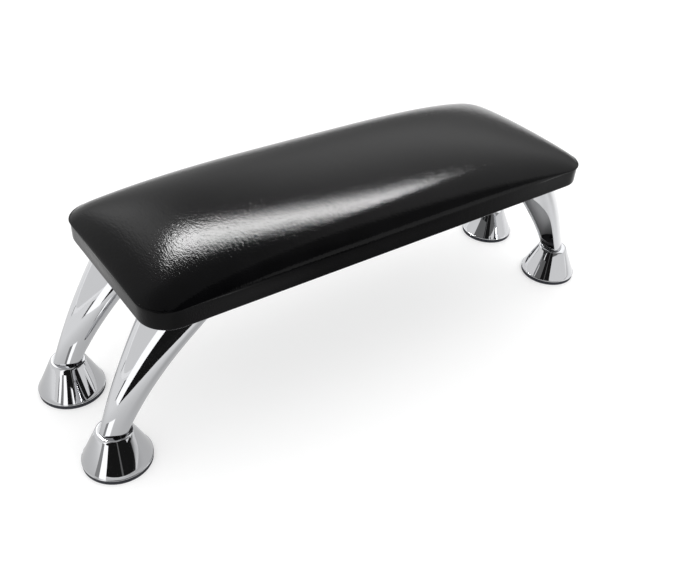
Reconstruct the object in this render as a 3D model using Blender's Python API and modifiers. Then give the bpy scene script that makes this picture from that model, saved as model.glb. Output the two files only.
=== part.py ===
"""Manicure arm rest stand: a padded leather rest on four chromed horn legs with cup feet.

Metres, +Z up. The origin is on the floor under the middle of the stand, X runs along the rest and
the long front side faces -Y. The rest is a board with a foam crown under one leather skin. Each leg
is a hollow horn that leaves its foot cup nearly upright, leans in under the rest and flares on the way.
"""
import math

import bmesh
import bpy

MM = 0.001

# Rest: sizes at the upright band, which is the board's edge under the leather
REST_LENGTH = 400 * MM
REST_WIDTH = 144 * MM
REST_CORNER = 21.5 * MM
REST_UNDERSIDE = 123 * MM
BAND_HEIGHT = 13.5 * MM
CROWN_HEIGHT = 26.2 * MM
CROWN_SIDE_POWER = 2.2
CROWN_SIDE_ROUND = 0.47
CROWN_END_POWER = 3.6
CROWN_END_ROUND = 0.77
ROLL_BULGE = 0.9 * MM
CREASE_DEPTH = 0.7 * MM
LEATHER = 1.2 * MM
FOAM_GAP = 0.8 * MM
TURN_IN = 16 * MM
BOARD_THICKNESS = 10 * MM
DUST_COVER = 0.8 * MM
DUST_COVER_INSET = 9 * MM

# Legs: the horn's centre line is an arc that leans more and more inwards
LEG_BASE_LEAN = math.radians(23.3)
LEG_TOP_LEAN = math.radians(40.4)
LEG_SIDE_LEAN = 3.5 * MM
LEG_BASE_THICKNESS = 19.1 * MM
LEG_TOP_THICKNESS = 28.8 * MM
LEG_BASE_WIDTH = 20.2 * MM
LEG_TOP_WIDTH = 59.8 * MM
LEG_FLARE = 1.3
LEG_RIDGE = 0.37
LEG_WALL = 2 * MM
LEG_COLLAR = 3 * MM
LEG_OPENING = math.radians(49)
LEG_OPENING_TIP = math.radians(6)
LEG_OPENING_ARCH = 37.5 * MM
LEG_OPENING_CLOSE = 11 * MM
PLUG_HEIGHT = 9 * MM
PLATE_THICKNESS = 3 * MM
PLATE_TAIL = 56 * MM
PLATE_WIDTH = 46 * MM
PLATE_CORNER = 9 * MM

# Feet: where they stand, and the cone cups
FOOT_OVERHANG = 22.5 * MM
FOOT_INSET = 29 * MM
FOOT_RADIUS = 25 * MM
FOOT_TOP_RADIUS = 13.5 * MM
FOOT_HEIGHT = 29.5 * MM
FOOT_WALL = 2 * MM
FOOT_EDGE_ROUND = 2 * MM
FOOT_LIP = 1.2 * MM
FOOT_PAD = 3 * MM
FOOT_PAD_CHAMFER = 0.6 * MM
FOOT_PAD_SPIGOT = 4 * MM

# Screws: radius and length of the shank, radius and height of the head
FOOT_SCREW = (2.5 * MM, 10 * MM, 5 * MM, 3.5 * MM)
PLATE_SCREW = (2.0 * MM, 13 * MM, 4 * MM, 2.4 * MM)
SCREW_EDGE = 11 * MM
SCREW_TIP_SHARE = 0.6
HEAD_RIM_SHARE = 0.4
HEAD_CROWN_SHARE = 0.7

# Fits and facets
CLEARANCE = 0.3 * MM
CORNER_STEPS = 6
SIDE_STEPS = 8
END_STEPS = 4
CROWN_RINGS = 10
CROWN_CROWDING = 2
HORN_RINGS = 5
ARCH_RINGS = 6
HORN_SIDES = 20
OPENING_SIDES = 6
CUP_STEPS = 28
SCREW_STEPS = 12

# Derived places
FOOT_X = REST_LENGTH / 2 + FOOT_OVERHANG
FOOT_Y = REST_WIDTH / 2 - FOOT_INSET
BAND_TOP = REST_UNDERSIDE + BAND_HEIGHT
BOARD_BOTTOM = REST_UNDERSIDE + LEATHER + CLEARANCE
BOARD_TOP = BOARD_BOTTOM + BOARD_THICKNESS
BOARD_INSET = LEATHER + CREASE_DEPTH + CLEARANCE
DUST_TOP = REST_UNDERSIDE - CLEARANCE
PLATE_TOP = DUST_TOP - DUST_COVER - CLEARANCE
PLATE_BOTTOM = PLATE_TOP - PLATE_THICKNESS
HORN_BOTTOM = FOOT_HEIGHT + CLEARANCE
HORN_TOP = PLATE_BOTTOM - CLEARANCE
OPENING_LOW = HORN_BOTTOM + LEG_COLLAR
OPENING_HIGH = HORN_TOP - LEG_OPENING_CLOSE
ARCH_LOW = OPENING_HIGH - LEG_OPENING_ARCH
HORN_ARC = (HORN_TOP - HORN_BOTTOM) / (math.sin(LEG_TOP_LEAN) - math.sin(LEG_BASE_LEAN))

CORNERS = {
    "front_left": (-1, -1),
    "front_right": (1, -1),
    "back_left": (-1, 1),
    "back_right": (1, 1),
}


def material(name, colour, roughness, metallic):
    """A plain Principled material."""
    mat = bpy.data.materials.new(name)
    mat.use_nodes = True
    shader = mat.node_tree.nodes["Principled BSDF"]
    shader.inputs["Base Color"].default_value = (*colour, 1)
    shader.inputs["Roughness"].default_value = roughness
    shader.inputs["Metallic"].default_value = metallic
    return mat


def add_object(name, data, mat, parent, location=(0, 0, 0)):
    """Link one sub-part to the stand's collection, under its parent empty."""
    data.materials.append(mat)
    piece = bpy.data.objects.new(name, data)
    piece.location = location
    piece.parent = parent
    STAND.objects.link(piece)
    return piece


def mesh_from_bmesh(name, bm, sharp=math.radians(32)):
    """A smooth-shaded mesh with merged doubles and outward faces."""
    bmesh.ops.remove_doubles(bm, verts=bm.verts, dist=1e-6)
    bmesh.ops.recalc_face_normals(bm, faces=bm.faces)
    mesh = bpy.data.meshes.new(name)
    bm.to_mesh(mesh)
    bm.free()
    mesh.shade_smooth()
    mesh.set_sharp_from_angle(angle=sharp)
    return mesh


def loft(name, rings, closed=False, caps=(True, True)):
    """Skin rings of equal count. A closed stack joins end to start, an open one is capped.

    An end without a cap is a ring folded flat to a ridge, which closes when doubles merge.
    """
    bm = bmesh.new()
    rows = [[bm.verts.new(point) for point in ring] for ring in rings]
    pairs = list(zip(rows, rows[1:]))
    if closed:
        pairs.append((rows[-1], rows[0]))
    else:
        for row, capped in zip((rows[0], rows[-1]), caps):
            if capped:
                bm.faces.new(row)
    count = len(rows[0])
    for low, high in pairs:
        for i in range(count):
            j = (i + 1) % count
            bm.faces.new((low[i], low[j], high[j], high[i]))
    return mesh_from_bmesh(name, bm)


def rounded_rectangle(length, width, radius, centre=(0, 0), side_steps=1, end_steps=1):
    """Points of a rectangle with round corners, counter-clockwise in plan, with steps along its sides."""
    radius = min(radius, 0.49 * length, 0.49 * width)
    arcs = []
    for quarter in range(4):
        side_x = 1 if quarter in (0, 3) else -1
        side_y = 1 if quarter in (0, 1) else -1
        hub_x = centre[0] + side_x * (length / 2 - radius)
        hub_y = centre[1] + side_y * (width / 2 - radius)
        angles = [math.radians(90) * (quarter + i / (CORNER_STEPS - 1)) for i in range(CORNER_STEPS)]
        arcs.append([(hub_x + radius * math.cos(a), hub_y + radius * math.sin(a)) for a in angles])
    points = []
    for quarter, arc in enumerate(arcs):
        points += arc
        start, end = arc[-1], arcs[(quarter + 1) % 4][0]
        steps = end_steps if quarter % 2 else side_steps
        for i in range(1, steps):
            share = i / steps
            points.append((start[0] + (end[0] - start[0]) * share, start[1] + (end[1] - start[1]) * share))
    return points


def rest_outline(length, width, corner):
    """An outline of the rest with enough points for the crown's curves."""
    return rounded_rectangle(length, width, corner, side_steps=SIDE_STEPS, end_steps=END_STEPS)


def circle(radius, centre, steps):
    """Points of a circle in plan."""
    angles = [math.tau * i / steps for i in range(steps)]
    return [(centre[0] + radius * math.cos(a), centre[1] + radius * math.sin(a)) for a in angles]


def sheet(name, bottom, thickness, outline, holes, mat, parent):
    """A flat piece: a filled 2D curve with holes, made a closed mesh."""
    curve = bpy.data.curves.new(name, "CURVE")
    curve.dimensions = "2D"
    curve.fill_mode = "BOTH"
    curve.extrude = thickness / 2
    for loop in [outline, *holes]:
        spline = curve.splines.new("POLY")
        spline.points.add(len(loop) - 1)
        spline.use_cyclic_u = True
        for point, (x, y) in zip(spline.points, loop):
            point.co = (x, y, 0, 1)
    guide = bpy.data.objects.new(name + "_outline", curve)
    STAND.objects.link(guide)
    evaluated = guide.evaluated_get(bpy.context.evaluated_depsgraph_get())
    filled = bpy.data.meshes.new_from_object(evaluated)
    bm = bmesh.new()
    bm.from_mesh(filled)
    bpy.data.objects.remove(guide)
    mesh = mesh_from_bmesh(name, bm)
    return add_object(name, mesh, mat, parent, (0, 0, bottom + thickness / 2))


def turned(name, profile, steps, mat, parent, location, closed=False):
    """A turned piece: a profile of (radius, height) points, outer side downwards, with a Screw modifier."""
    mesh = bpy.data.meshes.new(name)
    edges = [(i, i + 1) for i in range(len(profile) - 1)]
    if closed:
        edges.append((len(profile) - 1, 0))
    mesh.from_pydata([(r, 0, z) for r, z in profile], edges, [])
    piece = add_object(name, mesh, mat, parent, location)
    screw = piece.modifiers.new("Turn", "SCREW")
    screw.steps = steps
    screw.render_steps = steps
    screw.use_merge_vertices = True
    screw.merge_threshold = 1e-6
    screw.use_smooth_shade = True
    return piece


def cut(piece, cutter):
    """Cut one piece with a cutter that stays in the cutters' collection."""
    boolean = piece.modifiers.new("Cut", "BOOLEAN")
    boolean.operation = "DIFFERENCE"
    boolean.object = cutter


def cylinder_cutter(name, radius, bottom, top, centre):
    """An upright cylinder to cut with."""
    bm = bmesh.new()
    bmesh.ops.create_cone(bm, cap_ends=True, segments=SCREW_STEPS, radius1=radius, radius2=radius,
                          depth=top - bottom)
    mesh = bpy.data.meshes.new(name)
    bm.to_mesh(mesh)
    bm.free()
    cutter = bpy.data.objects.new(name, mesh)
    cutter.location = (*centre, (bottom + top) / 2)
    cutter.hide_render = True
    cutter.display_type = "WIRE"
    CUTTERS.objects.link(cutter)
    return cutter


def rest_ring(inset, height):
    """One level outline of the rest, inset from the band."""
    outline = rest_outline(REST_LENGTH - 2 * inset, REST_WIDTH - 2 * inset, REST_CORNER - inset)
    return [(x, y, height) for x, y in outline]


def reach(offset, half, cross_half, corner):
    """Half size of a rounded rectangle along one way, at an offset along the other way."""
    beyond = min(max(abs(offset) - (cross_half - corner), 0.0), corner)
    return half - corner + math.sqrt(corner ** 2 - beyond ** 2)


def crown_height(x, y, length, width, corner, height):
    """The padding's height over the band at one place: a pillow that rolls down to its outline.

    height * (1 - along ** CROWN_END_POWER) ** CROWN_END_ROUND
    * (1 - across ** CROWN_SIDE_POWER) ** CROWN_SIDE_ROUND, where along and across are the shares of the
    way from the middle to the outline.
    """
    along = min(abs(x) / reach(y, length / 2, width / 2, corner), 1.0)
    across = min(abs(y) / reach(x, width / 2, length / 2, corner), 1.0)
    end = (1 - along ** CROWN_END_POWER) ** CROWN_END_ROUND
    side = (1 - across ** CROWN_SIDE_POWER) ** CROWN_SIDE_ROUND
    return height * end * side


def crown_rings(skin):
    """Rings over the crown from the roll to the ridge, smaller by a skin all round."""
    length = REST_LENGTH + 2 * (ROLL_BULGE - skin)
    width = REST_WIDTH + 2 * (ROLL_BULGE - skin)
    corner = REST_CORNER + ROLL_BULGE - skin
    rings = []
    for i in range(CROWN_RINGS):
        share = (i / (CROWN_RINGS - 1)) ** CROWN_CROWDING
        inset = share * width
        outline = rest_outline(length - inset, width - inset, corner * (1 - share))
        heights = [crown_height(x, y, length, width, corner, CROWN_HEIGHT - skin) for x, y in outline]
        rings.append([(x, y, BAND_TOP + z) for (x, y), z in zip(outline, heights)])
    return rings


def leather_cover(mat, parent):
    """One leather skin: turned in under the board, up the band and over the crown, inside and out."""
    low_edge = 1.5 * LEATHER
    inside = [
        rest_ring(LEATHER + CREASE_DEPTH, BAND_TOP - low_edge),
        rest_ring(LEATHER + CREASE_DEPTH, REST_UNDERSIDE + LEATHER),
        rest_ring(TURN_IN, REST_UNDERSIDE + LEATHER),
    ]
    outside = [
        rest_ring(TURN_IN, REST_UNDERSIDE),
        rest_ring(low_edge, REST_UNDERSIDE),
        rest_ring(low_edge / 4, REST_UNDERSIDE + low_edge / 4),
        rest_ring(0, REST_UNDERSIDE + low_edge),
        rest_ring(0, BAND_TOP - low_edge),
        rest_ring(CREASE_DEPTH, BAND_TOP - low_edge / 3),
    ]
    rings = crown_rings(LEATHER)[::-1] + inside + outside + crown_rings(0)
    mesh = loft("leather_cover", rings, caps=(False, False))
    return add_object("leather_cover", mesh, mat, parent)


def foam_core(mat, parent):
    """The foam pillow: a flat bottom on the board, upright sides and the crown under the leather."""
    side = LEATHER + CREASE_DEPTH + CLEARANCE
    foot = [rest_ring(side, BOARD_TOP + CLEARANCE), rest_ring(side, BAND_TOP - CLEARANCE)]
    rings = foot + crown_rings(LEATHER + FOAM_GAP)
    return add_object("foam_core", loft("foam_core", rings, caps=(True, False)), mat, parent)


def plate_tail(signs):
    """Where a plate's tail ends in plan, and the middle of its width."""
    centre_x, centre_y, half_x, half_y = horn_section(HORN_TOP, signs)
    return centre_x - signs[0] * (half_x + PLATE_TAIL), centre_y


def plate_outline(signs):
    """A plate in plan: the horn's top edge on its outer side, and a narrower tail with round corners."""
    side_x = signs[0]
    tail_end, middle_y = plate_tail(signs)
    half = PLATE_WIDTH / 2
    centre_x = horn_section(HORN_TOP, signs)[0]
    ring = horn_ring(HORN_TOP, signs)
    head = [(x, y) for x, y, z in ring if side_x * (x - centre_x) > 0 or abs(y - middle_y) > half]
    neck = min(side_x * x for x, y in head) * side_x
    points = [(neck, middle_y - half), *head, (neck, middle_y + half)]
    for side_y, turns in ((1, range(CORNER_STEPS)), (-1, reversed(range(CORNER_STEPS)))):
        for i in turns:
            angle = math.radians(90) * i / (CORNER_STEPS - 1)
            points.append((tail_end + side_x * PLATE_CORNER * (1 - math.sin(angle)),
                           middle_y + side_y * (half - PLATE_CORNER * (1 - math.cos(angle)))))
    return points


def screw_places(signs):
    """The four screws of one plate, on the tail that runs inwards past the horn."""
    tail_end, middle_y = plate_tail(signs)
    near = tail_end + signs[0] * SCREW_EDGE
    far = tail_end + signs[0] * (PLATE_TAIL - SCREW_EDGE)
    leather_edge = REST_WIDTH / 2 - TURN_IN - abs(middle_y)
    spread = min(PLATE_WIDTH / 2 - SCREW_EDGE, leather_edge - PLATE_SCREW[0] - 3 * CLEARANCE)
    return [(x, middle_y + y) for x in (near, far) for y in (-spread, spread)]


def screw_holes():
    """Clearance holes for every plate screw, as loops in plan."""
    radius = PLATE_SCREW[0] + CLEARANCE
    places = [place for signs in CORNERS.values() for place in screw_places(signs)]
    return [circle(radius, place, SCREW_STEPS) for place in places]


def horn_section(height, signs, inset=0.0):
    """A level cut through a horn: its centre and half sizes at one height.

    The centre line is an arc of radius HORN_ARC whose lean a follows
    sin(a) = sin(LEG_BASE_LEAN) + rise / HORN_ARC, so it runs inwards by HORN_ARC * (cos(base) - cos(a)).
    """
    rise = height - HORN_BOTTOM
    share = max(rise / (HORN_TOP - HORN_BOTTOM), 0.0)
    lean = math.asin(math.sin(LEG_BASE_LEAN) + rise / HORN_ARC)
    run = HORN_ARC * (math.cos(LEG_BASE_LEAN) - math.cos(lean))
    thickness = LEG_BASE_THICKNESS + (LEG_TOP_THICKNESS - LEG_BASE_THICKNESS) * share
    width = LEG_BASE_WIDTH + (LEG_TOP_WIDTH - LEG_BASE_WIDTH) * share ** LEG_FLARE
    centre_x = signs[0] * (FOOT_X - run)
    centre_y = signs[1] * (FOOT_Y - LEG_SIDE_LEAN * share)
    return centre_x, centre_y, (thickness / 2 - inset) / math.cos(lean), width / 2 - inset


def opening_half(height):
    """Half angle of the opening in a horn's inner side: even, then a round arch, then only a guide for the rings."""
    if height > OPENING_HIGH:
        share = (height - OPENING_HIGH) / (HORN_TOP - OPENING_HIGH)
        return LEG_OPENING_TIP + (LEG_OPENING / 2 - LEG_OPENING_TIP) * share
    rise = max((height - ARCH_LOW) / LEG_OPENING_ARCH, 0.0)
    return max(LEG_OPENING * math.sqrt(max(1 - rise ** 2, 0.0)), LEG_OPENING_TIP)


def horn_ring(height, signs, inset=0.0):
    """Points round a horn at one height, inset by a wall: an ellipse drawn in towards its outer side.

    At angle a from the outer side the width is half_y * sin(a) * (1 - LEG_RIDGE * cos(a)) / widest, where
    widest is the most that the sine part reaches, at the angle whose cosine is fullest. The ring runs from
    one side of the opening round the outer side to the other, and then across the opening.
    """
    centre_x, centre_y, half_x, half_y = horn_section(height, signs, inset)
    fullest = -2 * LEG_RIDGE / (1 + math.sqrt(1 + 8 * LEG_RIDGE ** 2))
    widest = math.sqrt(1 - fullest ** 2) * (1 - LEG_RIDGE * fullest)
    lip = math.pi - opening_half(height)
    angles = [lip * (2 * i / HORN_SIDES - 1) for i in range(HORN_SIDES + 1)]
    angles += [lip + 2 * (math.pi - lip) * i / OPENING_SIDES for i in range(1, OPENING_SIDES)]
    points = []
    for angle in angles:
        across = math.sin(angle) * (1 - LEG_RIDGE * math.cos(angle)) / widest
        points.append((centre_x + signs[0] * half_x * math.cos(angle), centre_y + half_y * across, height))
    return points


def horn_heights():
    """Heights of the horn's rings: the collar, even steps up to the arch, the arch, and the closed top."""
    even = [OPENING_LOW + (ARCH_LOW - OPENING_LOW) * i / HORN_RINGS for i in range(HORN_RINGS + 1)]
    arch = [ARCH_LOW + LEG_OPENING_ARCH * math.sin(math.pi / 2 * i / ARCH_RINGS) for i in range(1, ARCH_RINGS + 1)]
    return [HORN_BOTTOM, *even, *arch, (OPENING_HIGH + HORN_TOP) / 2, HORN_TOP]


def leg_horn(corner, signs, mat, parent):
    """The hollow horn: an outer and an inner skin, joined at both ends and round the opening."""
    heights = horn_heights()
    bm = bmesh.new()
    skins = [[[bm.verts.new(point) for point in horn_ring(z, signs, inset)] for z in heights]
             for inset in (0.0, LEG_WALL)]
    twins = {outer: inner for rows in zip(*skins) for outer, inner in zip(*rows)}
    count = HORN_SIDES + OPENING_SIDES
    for rows in skins:
        for (low_z, low), (high_z, high) in zip(zip(heights, rows), zip(heights[1:], rows[1:])):
            opened = low_z > OPENING_LOW - CLEARANCE and high_z < OPENING_HIGH + CLEARANCE
            for i in range(HORN_SIDES if opened else count):
                j = (i + 1) % count
                bm.faces.new((low[i], low[j], high[j], high[i]))
    for edge in [edge for edge in bm.edges if edge.is_boundary and edge.verts[0] in twins]:
        start, end = edge.verts
        bm.faces.new((start, end, twins[end], twins[start]))
    bmesh.ops.delete(bm, geom=[vert for vert in bm.verts if not vert.link_faces], context="VERTS")
    name = corner + "_leg_horn"
    return add_object(name, mesh_from_bmesh(name, bm), mat, parent)


def leg_plug(corner, signs, mat, parent):
    """The threaded plug in the horn's lower end, bored for the foot's screw."""
    name = corner + "_leg_plug"
    inset = LEG_WALL + CLEARANCE
    heights = [HORN_BOTTOM + PLUG_HEIGHT * i / 3 for i in range(4)]
    plug = add_object(name, loft(name, [horn_ring(z, signs, inset) for z in heights]), mat, parent)
    overrun = 2 * PLUG_HEIGHT
    bore = cylinder_cutter(name + "_bore", FOOT_SCREW[0] + CLEARANCE, HORN_BOTTOM - overrun,
                           HORN_BOTTOM + overrun, (signs[0] * foot_screw_x(), signs[1] * FOOT_Y))
    cut(plug, bore)
    return plug


def foot_screw_x():
    """The foot's screw stands a little inwards, in the middle of the leaning plug."""
    return FOOT_X - 0.5 * PLUG_HEIGHT * math.tan(LEG_BASE_LEAN)


def mount_plate(corner, signs, mat, parent):
    """The steel plate on the horn's top, with a tail inwards for the screws."""
    radius = PLATE_SCREW[0] + CLEARANCE
    holes = [circle(radius, place, SCREW_STEPS) for place in screw_places(signs)]
    return sheet(corner + "_mount_plate", PLATE_BOTTOM, PLATE_THICKNESS, plate_outline(signs), holes, mat, parent)


def pan_screw(name, size, seat, place, mat, parent):
    """A pan-head screw that points up, its head under the seat height."""
    shank, length, head, head_height = size
    top = seat - CLEARANCE
    profile = [
        (0, top + length),
        (shank * SCREW_TIP_SHARE, top + length),
        (shank, top + length - shank),
        (shank, top),
        (head, top),
        (head, top - head_height * HEAD_RIM_SHARE),
        (head * HEAD_CROWN_SHARE, top - head_height),
        (0, top - head_height),
    ]
    return turned(name, profile, SCREW_STEPS, mat, parent, (*place, 0))


def foot_cup(corner, signs, mat, parent):
    """The cone cup: flat top with a round edge, straight cone, small lip, hollow underneath.

    The hole in its top is as wide as the screw needs, which stands off the cup's axis.
    """
    rim = FOOT_PAD + CLEARANCE
    lip_top = rim + FOOT_LIP
    slope = math.atan2(FOOT_HEIGHT - lip_top, FOOT_RADIUS - FOOT_TOP_RADIUS)
    hub_r = FOOT_TOP_RADIUS - FOOT_EDGE_ROUND * math.tan(slope / 2)
    hub_z = FOOT_HEIGHT - FOOT_EDGE_ROUND
    edge = [math.radians(90) - slope * i / 4 for i in range(5)]
    hole = FOOT_X - foot_screw_x() + FOOT_SCREW[0] + CLEARANCE
    inner_top = FOOT_HEIGHT - FOOT_WALL
    profile = [(hole, FOOT_HEIGHT)]
    profile += [(hub_r + FOOT_EDGE_ROUND * math.cos(a), hub_z + FOOT_EDGE_ROUND * math.sin(a)) for a in edge]
    profile += [
        (FOOT_RADIUS - FOOT_LIP / 2, lip_top),
        (FOOT_RADIUS, lip_top - FOOT_LIP / 2),
        (FOOT_RADIUS, rim),
        (cup_inner_radius(rim), rim),
        (cup_inner_radius(lip_top), lip_top),
        (cup_inner_radius(inner_top), inner_top),
        (hole, inner_top),
    ]
    place = (signs[0] * FOOT_X, signs[1] * FOOT_Y, 0)
    return turned(corner + "_foot_cup", profile, CUP_STEPS, mat, parent, place, closed=True)


def cup_inner_radius(height):
    """The cup's inner radius at one height: a cone from just over the rim to the underside of its top."""
    low, high = FOOT_PAD + CLEARANCE + FOOT_LIP, FOOT_HEIGHT - FOOT_WALL
    share = max((height - low) / (high - low), 0.0)
    return FOOT_RADIUS - FOOT_WALL - (FOOT_RADIUS - FOOT_TOP_RADIUS) * share


def foot_pad(corner, signs, mat, parent):
    """The rubber pad: a disc as wide as the cup, with a spigot that sits inside the cup."""
    spigot_top = FOOT_PAD + FOOT_PAD_SPIGOT
    spigot = cup_inner_radius(spigot_top) - CLEARANCE
    profile = [
        (0, spigot_top),
        (spigot, spigot_top),
        (spigot, FOOT_PAD),
        (FOOT_RADIUS, FOOT_PAD),
        (FOOT_RADIUS, FOOT_PAD_CHAMFER),
        (FOOT_RADIUS - FOOT_PAD_CHAMFER, 0),
        (0, 0),
    ]
    place = (signs[0] * FOOT_X, signs[1] * FOOT_Y, 0)
    return turned(corner + "_foot_pad", profile, CUP_STEPS, mat, parent, place)


def empty(name, parent=None):
    """An empty that groups sub-parts."""
    group = bpy.data.objects.new(name, None)
    group.parent = parent
    STAND.objects.link(group)
    return group


def build():
    """Build the rest, then the four legs with their feet."""
    leather = material("black_leather", (0.012, 0.012, 0.013), 0.32, 0.0)
    foam = material("cream_foam", (0.75, 0.68, 0.5), 0.95, 0.0)
    plywood = material("plywood", (0.52, 0.36, 0.2), 0.7, 0.0)
    fabric = material("black_non_woven", (0.02, 0.02, 0.02), 0.95, 0.0)
    chrome = material("polished_chrome", (0.82, 0.82, 0.84), 0.04, 1.0)
    steel = material("zinc_plated_steel", (0.6, 0.6, 0.6), 0.3, 1.0)
    rubber = material("dark_rubber", (0.012, 0.013, 0.02), 0.75, 0.0)

    root = empty("manicure_arm_rest_stand")
    rest = empty("rest", root)
    leather_cover(leather, rest)
    foam_core(foam, rest)
    board = rounded_rectangle(REST_LENGTH - 2 * BOARD_INSET, REST_WIDTH - 2 * BOARD_INSET,
                              REST_CORNER - BOARD_INSET)
    sheet("base_board", BOARD_BOTTOM, BOARD_THICKNESS, board, screw_holes(), plywood, rest)
    dust = rounded_rectangle(REST_LENGTH - 2 * DUST_COVER_INSET, REST_WIDTH - 2 * DUST_COVER_INSET,
                             REST_CORNER - DUST_COVER_INSET)
    sheet("dust_cover", DUST_TOP - DUST_COVER, DUST_COVER, dust, screw_holes(), fabric, rest)

    for corner, signs in CORNERS.items():
        leg = empty(corner + "_leg", root)
        leg_horn(corner, signs, chrome, leg)
        leg_plug(corner, signs, steel, leg)
        mount_plate(corner, signs, steel, leg)
        for number, place in enumerate(screw_places(signs), 1):
            pan_screw(f"{corner}_plate_screw_{number}", PLATE_SCREW, PLATE_BOTTOM, place, steel, leg)
        screw_place = (signs[0] * foot_screw_x(), signs[1] * FOOT_Y)
        pan_screw(corner + "_foot_screw", FOOT_SCREW, FOOT_HEIGHT - FOOT_WALL, screw_place, steel, leg)
        foot_cup(corner, signs, chrome, leg)
        foot_pad(corner, signs, rubber, leg)


for old in list(bpy.data.objects):
    bpy.data.objects.remove(old)
STAND = bpy.data.collections.new("manicure_arm_rest_stand")
CUTTERS = bpy.data.collections.new("cutters")
bpy.context.scene.collection.children.link(STAND)
bpy.context.scene.collection.children.link(CUTTERS)
build()
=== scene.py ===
"""Dressed model of a manicure arm rest stand: leather rest, chrome horn legs, cup feet and the studio.

Metres, +Z up, X along the rest, the long front side faces -Y, the origin on the floor under the middle.
Every new piece is a surface on a grid of two parameters, worked out with numpy in the CAD model's frame.
"""

import math

import bmesh
import bpy
import numpy as np
from bpy.props import FloatProperty, FloatVectorProperty, PointerProperty
from mathutils import Matrix, Vector


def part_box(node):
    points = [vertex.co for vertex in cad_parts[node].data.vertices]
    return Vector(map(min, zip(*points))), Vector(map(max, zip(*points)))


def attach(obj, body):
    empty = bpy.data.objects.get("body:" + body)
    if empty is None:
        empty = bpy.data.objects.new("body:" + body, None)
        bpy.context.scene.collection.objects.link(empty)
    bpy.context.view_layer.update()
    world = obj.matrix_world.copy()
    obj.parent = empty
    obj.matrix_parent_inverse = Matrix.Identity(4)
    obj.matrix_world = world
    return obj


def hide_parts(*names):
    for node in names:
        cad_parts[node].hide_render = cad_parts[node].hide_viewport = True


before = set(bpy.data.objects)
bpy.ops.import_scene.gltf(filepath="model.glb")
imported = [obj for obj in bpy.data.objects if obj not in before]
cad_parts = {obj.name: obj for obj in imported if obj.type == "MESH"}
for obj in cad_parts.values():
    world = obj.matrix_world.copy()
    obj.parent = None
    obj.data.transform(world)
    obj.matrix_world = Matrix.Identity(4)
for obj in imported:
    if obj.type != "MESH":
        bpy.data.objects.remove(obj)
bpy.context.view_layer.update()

bl_info = {
    "name": "Manicure Arm Rest Stand",
    "version": (1, 0, 0),
    "blender": (4, 5, 0),
    "location": "View3D > Sidebar > Arm Rest",
    "description": "Builds a padded arm rest on chrome horn legs, with its studio",
    "category": "Add Mesh",
}

MM = 0.001
WHITE = (1.0, 1.0, 1.0)
CORNERS = {
    "front_left": (-1, -1),
    "front_right": (1, -1),
    "back_left": (-1, 1),
    "back_right": (1, 1),
}
COVER_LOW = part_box("leather_cover")[0]
HORN_LOW, HORN_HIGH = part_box("front_right_leg_horn")
CUP_LOW, CUP_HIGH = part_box("front_right_foot_cup")
PAD_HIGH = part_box("front_right_foot_pad")[1]
DUST_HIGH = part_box("dust_cover")[1]

# Grids of the rest's pieces: marks on a quarter of the end, the corner and the side, and rows inwards
SKIN_MARKS, SKIN_ROWS = (12, 12, 44), 32
FOAM_MARKS, FOAM_ROWS = (6, 6, 16), 14
SHEET_MARKS, SHEET_ROWS = (6, 6, 24), 24
# Grid of a horn: sides round the wall and over the opening, and rows up to the arch, up it and over it
HORN_SIDES = (84, 20)
HORN_ROWS = (30, 24, 8)
# Steps round the turned pieces
CUP_STEPS, PAD_STEPS, SCREW_STEPS = 128, 96, 48
# Staples along each long side and each end of the dust cover
SIDE_STAPLES, END_STAPLES = 11, 3
END_ROLL_POWER = 18
SETTLE_FRAMES = 20


def number_property(name, description, value, **settings):
    """A number, with more settings where it has a unit or a range."""
    return FloatProperty(name=name, description=description, default=value, **settings)


def metre_property(name, description, metres):
    """A length with its default in metres."""
    return number_property(name, description, metres, unit="LENGTH", precision=4)


def mm_property(name, description, millimetres):
    """A length with its default in millimetres."""
    return metre_property(name, description, millimetres * MM)


def angle_property(name, description, degrees):
    """An angle with its default in degrees."""
    return number_property(name, description, math.radians(degrees), subtype="ANGLE")


def share_property(name, description, share):
    """A share between 0 and 1."""
    return number_property(name, description, share, subtype="FACTOR", min=0.0, max=1.0)


def colour_property(name, description, colour):
    """A colour in linear light."""
    return FloatVectorProperty(name=name, description=description, default=colour, subtype="COLOR",
                               min=0.0, max=1.0)


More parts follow.
